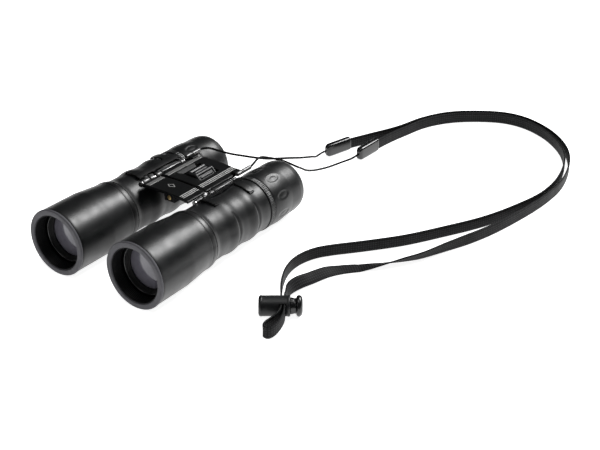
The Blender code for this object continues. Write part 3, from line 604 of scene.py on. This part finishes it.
def bridge():
    """The two arched plates with their ribs coloured light grey as a painted highlight, the focus wheel and
    shaft, and the rolled edges.
    """
    plate("rear_plate_skin", 76.8, 110.0, rear_top, PLATE, "bridge", ("rear_bridge_plate",), WINDOW)
    plate("front_plate_skin", 60.0, 75.3, lambda x, y: crown(x), PLATE, "focus_carriage",
          ("front_bridge_plate",))
    ridges = [(10.7 + 1.3 * k, 11.2 + 1.3 * k) for k in range(3)]
    # Ribs and rungs in the light grey painted highlight
    bars("rear_ridges", [(a, b, 77.6, 109.2) for a, b in ridges], RIB_HIGHLIGHT_GREY, "bridge")
    bars("front_ridges", [(a, b, 60.8, 74.6) for a, b in ridges], RIB_HIGHLIGHT_GREY, "focus_carriage")
    rear_rungs = [(-15.2, -11.9, 77.8 + 0.95 * k, 78.3 + 0.95 * k) for k in range(33)]
    front_rungs = [(-15.2, -11.9, 61.0 + 0.95 * k, 61.5 + 0.95 * k) for k in range(14)]
    bars("rear_ladder", rear_rungs, RIB_HIGHLIGHT_GREY, "bridge", inset=0.1)
    bars("front_ladder", front_rungs, RIB_HIGHLIGHT_GREY, "focus_carriage", inset=0.1)
    # The diamond mark is drawn in the same light grey as the ribs' painted highlight
    diamond = [(-1.5, 66.0), (1.5, 68.0), (-1.5, 70.0), (-4.5, 68.0)]
    inner = [(x * 0.72 - 1.5 * 0.28, (y - 68) * 0.72 + 68) for x, y in diamond]
    verts = [(x, y, crown(x) + up) for up in (-0.05, 0.12) for ring in (diamond, inner) for x, y in ring]
    faces = []
    for k in range(4):
        n = (k + 1) % 4
        faces += [(k, n, 8 + n, 8 + k), (4 + n, 4 + k, 12 + k, 12 + n), (8 + k, 8 + n, 12 + n, 12 + k),
                  (n, k, 4 + k, 4 + n)]
    solid("front_plate_mark", verts, faces, RIB_HIGHLIGHT_GREY, "focus_carriage", (), sharp=20)
    wheel = [(1.9, 100.5), (1.9, 84.5), (6.7, 84.5), (WHEEL_FLAT_R, 85.0), (WHEEL_FLAT_R, 100.0),
             (6.9, 100.5)]
    lathe("focus_wheel_skin", wheel, MOULDED, "focus_gear", ("focus_wheel",), "barrel_plastic",
          centre=(0, WHEEL_Z), steps=320, shape=wheel_shape, step=0.3)
    rod("focus_shaft_skin", 0, WHEEL_Z, [(1.2, 63.6), (1.5, 63.9), (1.5, 103.0)], BRASS, "focus_gear",
        ("focus_shaft",), "brass")
    for side in (-1, 1):
        roll = [(KNUCKLE_R, 80.4), (KNUCKLE_R, 97.1)]
        rod(f"edge_roll_{side + 1}", side * HINGE_X, HINGE_Z, roll, ROD, "bridge", (), "bridge_paint", soft=0.3)
        x0, x1 = sorted((side * 17.2, side * 19.9))
        block(f"edge_lip_{side + 1}", (x0, 80.6, 35.2), (x1, 96.9, 36.5), PLATE, "bridge", ())


# ------------------------------------------------------------------ neck strap

FLOOR_Z = 0.15
WEB_H, WEB_T, CORD_R = 7.6, 1.0, 0.7

# Points along each cord and web, the cords' at their middle and the webs' at their lower edge
LEFT_CORD = ((19.8, 48.5, 34.8), (19.2, 52, 35.2), (17.6, 58, 35.3), (17.0, 63, 34.3),
             (18.0, 67.5, 32.4), (20.5, 71.2, 30.8), (24.5, 73.4, 29.9), (29.5, 74.6, 28.9),
             (32, 77.5, 26.5), (30.5, 86, 20.8), (28, 95, 14.8), (25.6, 105, 9.6), (23.4, 116, 5),
             (23.6, 127, 2.2), (26.4, 137.3, 2.0), (30.4, 143.6, 3.4), (32.0, 149.0, 4.4))
RIGHT_CORD = ((-19.8, 48.5, 34.8), (-19.0, 50.3, 35.0), (-15.5, 52, 35.4), (-9, 52.4, 35.6),
              (0, 53.5, 35.5), (8, 57.5, 34.6), (12.5, 64, 32), (15, 71, 29.2), (18.5, 77, 27.9),
              (23.4, 83, 27.2), (26, 91, 24.8), (25.8, 99, 21.8), (23.8, 108, 17.8), (19.4, 118, 12.4),
              (14.6, 129, 8), (11.8, 137, 5.4), (11.55, 140.9, 4.7))
LEFT_JOINT = ((32.1, 149.5), (33.6, 170.0))
RIGHT_JOINT = ((11.6, 141.4), (17.3, 161.0))


def on_floor(points):
    return tuple((x, y, FLOOR_Z) for x, y in points)


INNER_WEB = on_floor(((33.65, 170.4), (34.6, 179), (36.2, 189), (38.6, 200), (43.5, 219), (52, 234),
                      (64, 246), (84, 257.6), (100, 259), (119, 252.5), (136, 239.5), (146.5, 226),
                      (153, 211), (157.6, 190), (157.6, 168), (152.6, 147), (142.6, 120), (128, 94),
                      (114.8, 73), (99.7, 54.3), (85.4, 38)))
INNER_WEB += ((80.3, 30.5, 0.2), (77.3, 21, 0.4), (77.1, 12, 0.7), (79.3, 3, 1.2), (83.4, -6, 1.7),
              (88.6, -14.6, 2.1), (94.56, -22.75, 2.3), (97.98, -27.67, 2.3), (101.4, -32.6, 2.3),
              (102.7, -38, 1.8), (102.1, -43.6, 1.2), (101.7, -47.4, 0.8), (103.2, -50.2, 0.6),
              (105.9, -50, 0.6), (107.2, -46.6, 0.8), (106.9, -40.4, 1.6), (105, -34.8, 2.2),
              (103.04, -31.45, 2.3), (99.85, -26.86, 2.3))
OUTER_WEB = on_floor(((17.45, 161.35), (21, 168.9), (25, 177.5), (29.6, 187), (34.6, 199),
                      (40.6, 219.4), (50, 236.6), (63, 249), (84, 260.8), (100, 262.2), (120.6, 255.2),
                      (138.2, 242), (149, 228), (156.4, 211), (161, 190), (161, 168), (157.6, 143),
                      (150, 110), (138, 79), (131.3, 63.8), (125.6, 55.6), (118, 46.4), (111.7, 40.3),
                      (105.9, 34.5), (99.9, 27.6), (95.6, 20)))
OUTER_WEB += ((92.2, 8, 0.3), (90.6, -1, 0.8), (91.2, -10.8, 1.6), (94, -17.4, 2.2),
              (96.2, -21.61, 2.3), (99.39, -26.2, 2.3))
# How far the outer web has turned over from standing on edge: (y, degrees), as it runs towards the lock
OUTER_TWIST = ((95, 0), (78.6, 14), (63.3, 30), (55.3, 41), (46.4, 60), (40.3, 80), (34.5, 93),
               (27.6, 98), (20.4, 112), (8, 124), (-1, 142), (-10, 165), (-18, 180))
LOCK_AT = (95.1, -29.7, 6.1)
LOCK_TURN = math.radians(35)


def smooth(points, count):
    """Points evenly spaced along a smooth curve (centripetal Catmull-Rom) through the given ones."""
    pts = [Vector(p) for p in points]
    pts = [2 * pts[0] - pts[1]] + pts + [2 * pts[-1] - pts[-2]]
    dense = []
    for i in range(1, len(pts) - 2):
        p0, p1, p2, p3 = pts[i - 1:i + 3]
        t1 = (p1 - p0).length ** 0.5
        t2 = t1 + (p2 - p1).length ** 0.5
        t3 = t2 + (p3 - p2).length ** 0.5
        for k in range(16):
            t = t1 + (t2 - t1) * k / 16
            a1 = p0 * ((t1 - t) / t1) + p1 * (t / t1)
            a2 = p1 * ((t2 - t) / (t2 - t1)) + p2 * ((t - t1) / (t2 - t1))
            a3 = p2 * ((t3 - t) / (t3 - t2)) + p3 * ((t - t2) / (t3 - t2))
            b1 = a1 * ((t2 - t) / t2) + a2 * (t / t2)
            b2 = a2 * ((t3 - t) / (t3 - t1)) + a3 * ((t - t1) / (t3 - t1))
            dense.append(b1 * ((t2 - t) / (t2 - t1)) + b2 * ((t - t1) / (t2 - t1)))
    dense.append(pts[-2])
    dense = np.array(dense)
    lengths = np.concatenate(([0], np.cumsum(np.linalg.norm(np.diff(dense, axis=0), axis=1))))
    places = np.linspace(0, lengths[-1], count)
    return np.stack([np.interp(places, lengths, dense[:, k]) for k in range(3)], 1), lengths[-1]


def along_route(name, route, count, section, upright, mat, node, twist=None):
    """A section of (across, up) points swept along a route.

    twist turns webbing over from upright: (y, degrees) pairs in falling y, for the route's second half.
    Returns the piece, the path of its middle and its length, both in metres.
    """
    places, length = smooth(route, count)
    ahead = np.gradient(places, axis=0)
    if upright:
        ahead[:, 2] = 0
    ahead /= np.linalg.norm(ahead, axis=1)[:, None]
    across = np.stack((-ahead[:, 1], ahead[:, 0], 0 * ahead[:, 0]), 1)
    across /= np.linalg.norm(across, axis=1)[:, None]
    up = np.cross(ahead, across)
    section = np.array(section)
    middle = section[:, 1].mean()
    if twist:
        y, degrees = np.array(twist).T
        turn = np.radians(np.interp(places[:, 1], y[::-1], degrees[::-1]))
        turn[:count // 2] = 0
        c, s = np.cos(turn)[:, None], np.sin(turn)[:, None]
        across, up = across * c - up * s, up * c + across * s
        section = section - (0, middle)
        middle = 0.0
        places[:, 2] += (WEB_H / 2 * abs(c) + WEB_T / 2 * abs(s))[:, 0]
    sideways = section[None, :, :1] * across[:, None, :]
    verts = places[:, None, :] + sideways + section[None, :, 1:] * up[:, None, :]
    n = len(section)
    ring = np.concatenate(([0], np.cumsum(np.linalg.norm(np.diff(section, axis=0), axis=1))))
    run = np.linspace(0, length, count)
    uv = np.stack(np.broadcast_arrays(run[:, None], ring[None, :]), 2).reshape(-1, 2)
    faces = grid_faces(count, n, close_cols=True)
    faces += [list(range(n)), list(range((count - 1) * n, count * n))[::-1]]
    obj = solid(name, verts.reshape(-1, 3), faces, mat, "bridge", (node,), LEVEL, sharp=50, uv=uv)
    path = [tuple((Vector(p) + Vector((0, 0, middle))) * MM) for p in places]
    return obj, path, length * MM


WEB_SECTION = [(-0.5, 0.35), (-0.5, 2.0), (-0.5, 3.8), (-0.5, 5.6), (-0.5, 7.25), (-0.32, 7.52), (0, 7.6),
               (0.32, 7.52), (0.5, 7.25), (0.5, 5.6), (0.5, 3.8), (0.5, 2.0), (0.5, 0.35), (0.32, 0.08),
               (0, 0), (-0.32, 0.08)]
CORD_SECTION = [(CORD_R * math.cos(a), CORD_R * math.sin(a)) for a in np.arange(16) * math.pi / 8]


JOINT_HALF_W, JOINT_H, JOINT_CORNER, JOINT_SIDES = 2.3, 8.85, 1.5, 32


def web_joint(tag, ends):
    """Moulded ferrule from cord to webbing: rounded, with a nose at the cord and a lip at the webbing."""
    a, b = Vector(ends[0]), Vector(ends[1])
    long = (b - a).length
    flat_w, flat_h = JOINT_HALF_W - JOINT_CORNER, JOINT_H / 2 - JOINT_CORNER
    stations = ((0.0, 0.5), (0.25, 0.66), (0.9, 0.84), (2.0, 0.97), (3.2, 1.0), (long - 1.6, 1.0),
                (long - 1.5, 0.95), (long - 1.2, 0.95), (long - 1.1, 1.0), (long - 0.3, 1.0), (long, 0.93))
    verts = []
    for s, scale in stations:
        for k in range(JOINT_SIDES):
            t = 2 * math.pi * (k + 0.5) / JOINT_SIDES
            x = math.copysign(flat_w, math.cos(t)) + JOINT_CORNER * math.cos(t)
            z = math.copysign(flat_h, math.sin(t)) + JOINT_CORNER * math.sin(t)
            verts.append((s - long / 2, x * scale, FLOOR_Z + JOINT_H / 2 + z * scale))
    faces = grid_faces(len(stations), JOINT_SIDES, close_cols=True)
    last = (len(stations) - 1) * JOINT_SIDES
    faces += [list(range(JOINT_SIDES)), list(range(last, last + JOINT_SIDES))[::-1]]
    middle = (a + b) / 2
    heading = Matrix.Rotation(math.atan2(b.y - a.y, b.x - a.x), 4, "Z")
    place = Matrix.Translation((middle.x, middle.y, 0)) @ heading
    return solid(f"{tag}_web_joint_skin", verts, faces, GLOSS, "bridge", (f"{tag}_web_joint",),
                 place, sharp=40)


def cut(obj, low, high, place):
    """Take a box-shaped slot out of a piece."""
    tool = block("slot_tool", low, high, GLOSS, obj["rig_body"], place=place, bevel=0.5)
    mod = obj.modifiers.new("slot", "BOOLEAN")
    mod.operation = "DIFFERENCE"
    mod.solver = "EXACT"
    mod.object = tool
    mesh = bpy.data.meshes.new_from_object(obj.evaluated_get(bpy.context.evaluated_depsgraph_get()))
    obj.modifiers.clear()
    obj.data = mesh
    bpy.data.objects.remove(tool)


def cord_lock():
    """The lock's body and the plunger in it, each with the slot that the webbing runs through."""
    place = Matrix.Translation(LOCK_AT) @ Matrix.Rotation(LOCK_TURN - math.pi / 2, 4, "Z")
    body = [(0.02, -7.3), (4.9, -7.3), (4.9, 8.65), (5.35, 8.65), (5.85, 8.2), (5.85, 7.3), (5.7, 7.1),
            (5.7, -6.7), (5.85, -6.9), (5.85, -7.5), (5.3, -8.4), (4.2, -8.65), (0.02, -8.65)]
    shell = lathe("lock_body_skin", body, MOULDED, "bridge", ("cord_lock_body",), "lock_plastic",
                  centre=(0, 0), steps=96, step=2.0, soft=0.25, closed=False, place=place)
    cut(shell, (-8, 2.6, -3.95), (8, 6.4, 3.95), place)
    stem = [(0.02, 15.5), (3.4, 15.45), (4.9, 15.0), (5.7, 14.2), (5.9, 13.5), (5.85, 12.6), (5.2, 12.0),
            (4.3, 11.7), (4.2, 10.8), (4.6, 9.6), (4.6, -5.2), (0.02, -5.2)]
    knob = lathe("lock_plunger_skin", stem, GLOSS, "lock_plunger", ("cord_lock_plunger",), "lock_plastic",
                 centre=(0, 0), steps=96, step=2.0, soft=0.25, closed=False, place=place)
    cut(knob, (-8, 2.6, -4.05), (8, 7.9, 4.05), place)
    return shell, knob


def strap():
    """The lock, then two cords with their ferrules, then the two runs of webbing."""
    shell, knob = cord_lock()
    for tag, route, joint in (("left", LEFT_CORD, LEFT_JOINT), ("right", RIGHT_CORD, RIGHT_JOINT)):
        ferrule = web_joint(tag, joint)
        obj, path, length = along_route(f"{tag}_cord_skin", route, 120, CORD_SECTION, False, BRAID,
                                        f"{tag}_cord")
    for tag, route, pieces, twist in (("inner", INNER_WEB, [shell, knob], None),
                                      ("outer", OUTER_WEB, [shell], OUTER_TWIST)):
        obj, path, length = along_route(f"{tag}_webbing_skin", route, 460, WEB_SECTION, True, WEB,
                                        f"{tag}_webbing", twist=twist)


# ------------------------------------------------------------------ what the CAD shows, and the stage

CARRIED_OVER = {
    "objective_cell": DEEP, "focus_arm": STEEL, "prism_holder": DEEP, "front_prism": PRISM,
    "rear_prism": PRISM, "field_lens": LENS, "bridge_bottom_cover": SATIN, "cover_screw_1": STEEL,
    "cover_screw_2": STEEL, "focus_nut": DEEP,
}


def dress_cad():
    """Give the CAD bodies that no piece replaces their own materials."""
    for name, node in frame["nodes"].items():
        part = name.split("_", 1)[1] if name.startswith(("left_", "right_")) else name
        mat = CARRIED_OVER.get(part) or CARRIED_OVER.get(name)
        if mat:
            node.data.materials.clear()
            node.data.materials.append(mat)


def floor():
    """A pale floor that glows a little, as the photo's background does, metres across."""
    size = 4.0
    corners = [(-size, -size, 0), (size, -size, 0), (size, size, 0), (-size, size, 0)]
    mesh = bpy.data.meshes.new("floor")
    mesh.from_pydata(corners, [], [(0, 1, 2, 3)])
    mat = bpy.data.materials.new("pale_floor")
    mat.use_nodes = True
    bsdf = mat.node_tree.nodes["Principled BSDF"]
    bsdf.inputs["Base Color"].default_value = (0.9, 0.9, 0.9, 1)
    bsdf.inputs["Roughness"].default_value = 0.9
    bsdf.inputs["Emission Color"].default_value = (1, 1, 1, 1)
    bsdf.inputs["Emission Strength"].default_value = 0.9
    mesh.materials.append(mat)
    obj = bpy.data.objects.new("floor", mesh)
    bpy.context.scene.collection.objects.link(obj)


strap()
for tag, side in SIDES:
    barrel(tag, side)
    hinge(tag, side)
bridge()
dress_cad()
floor()
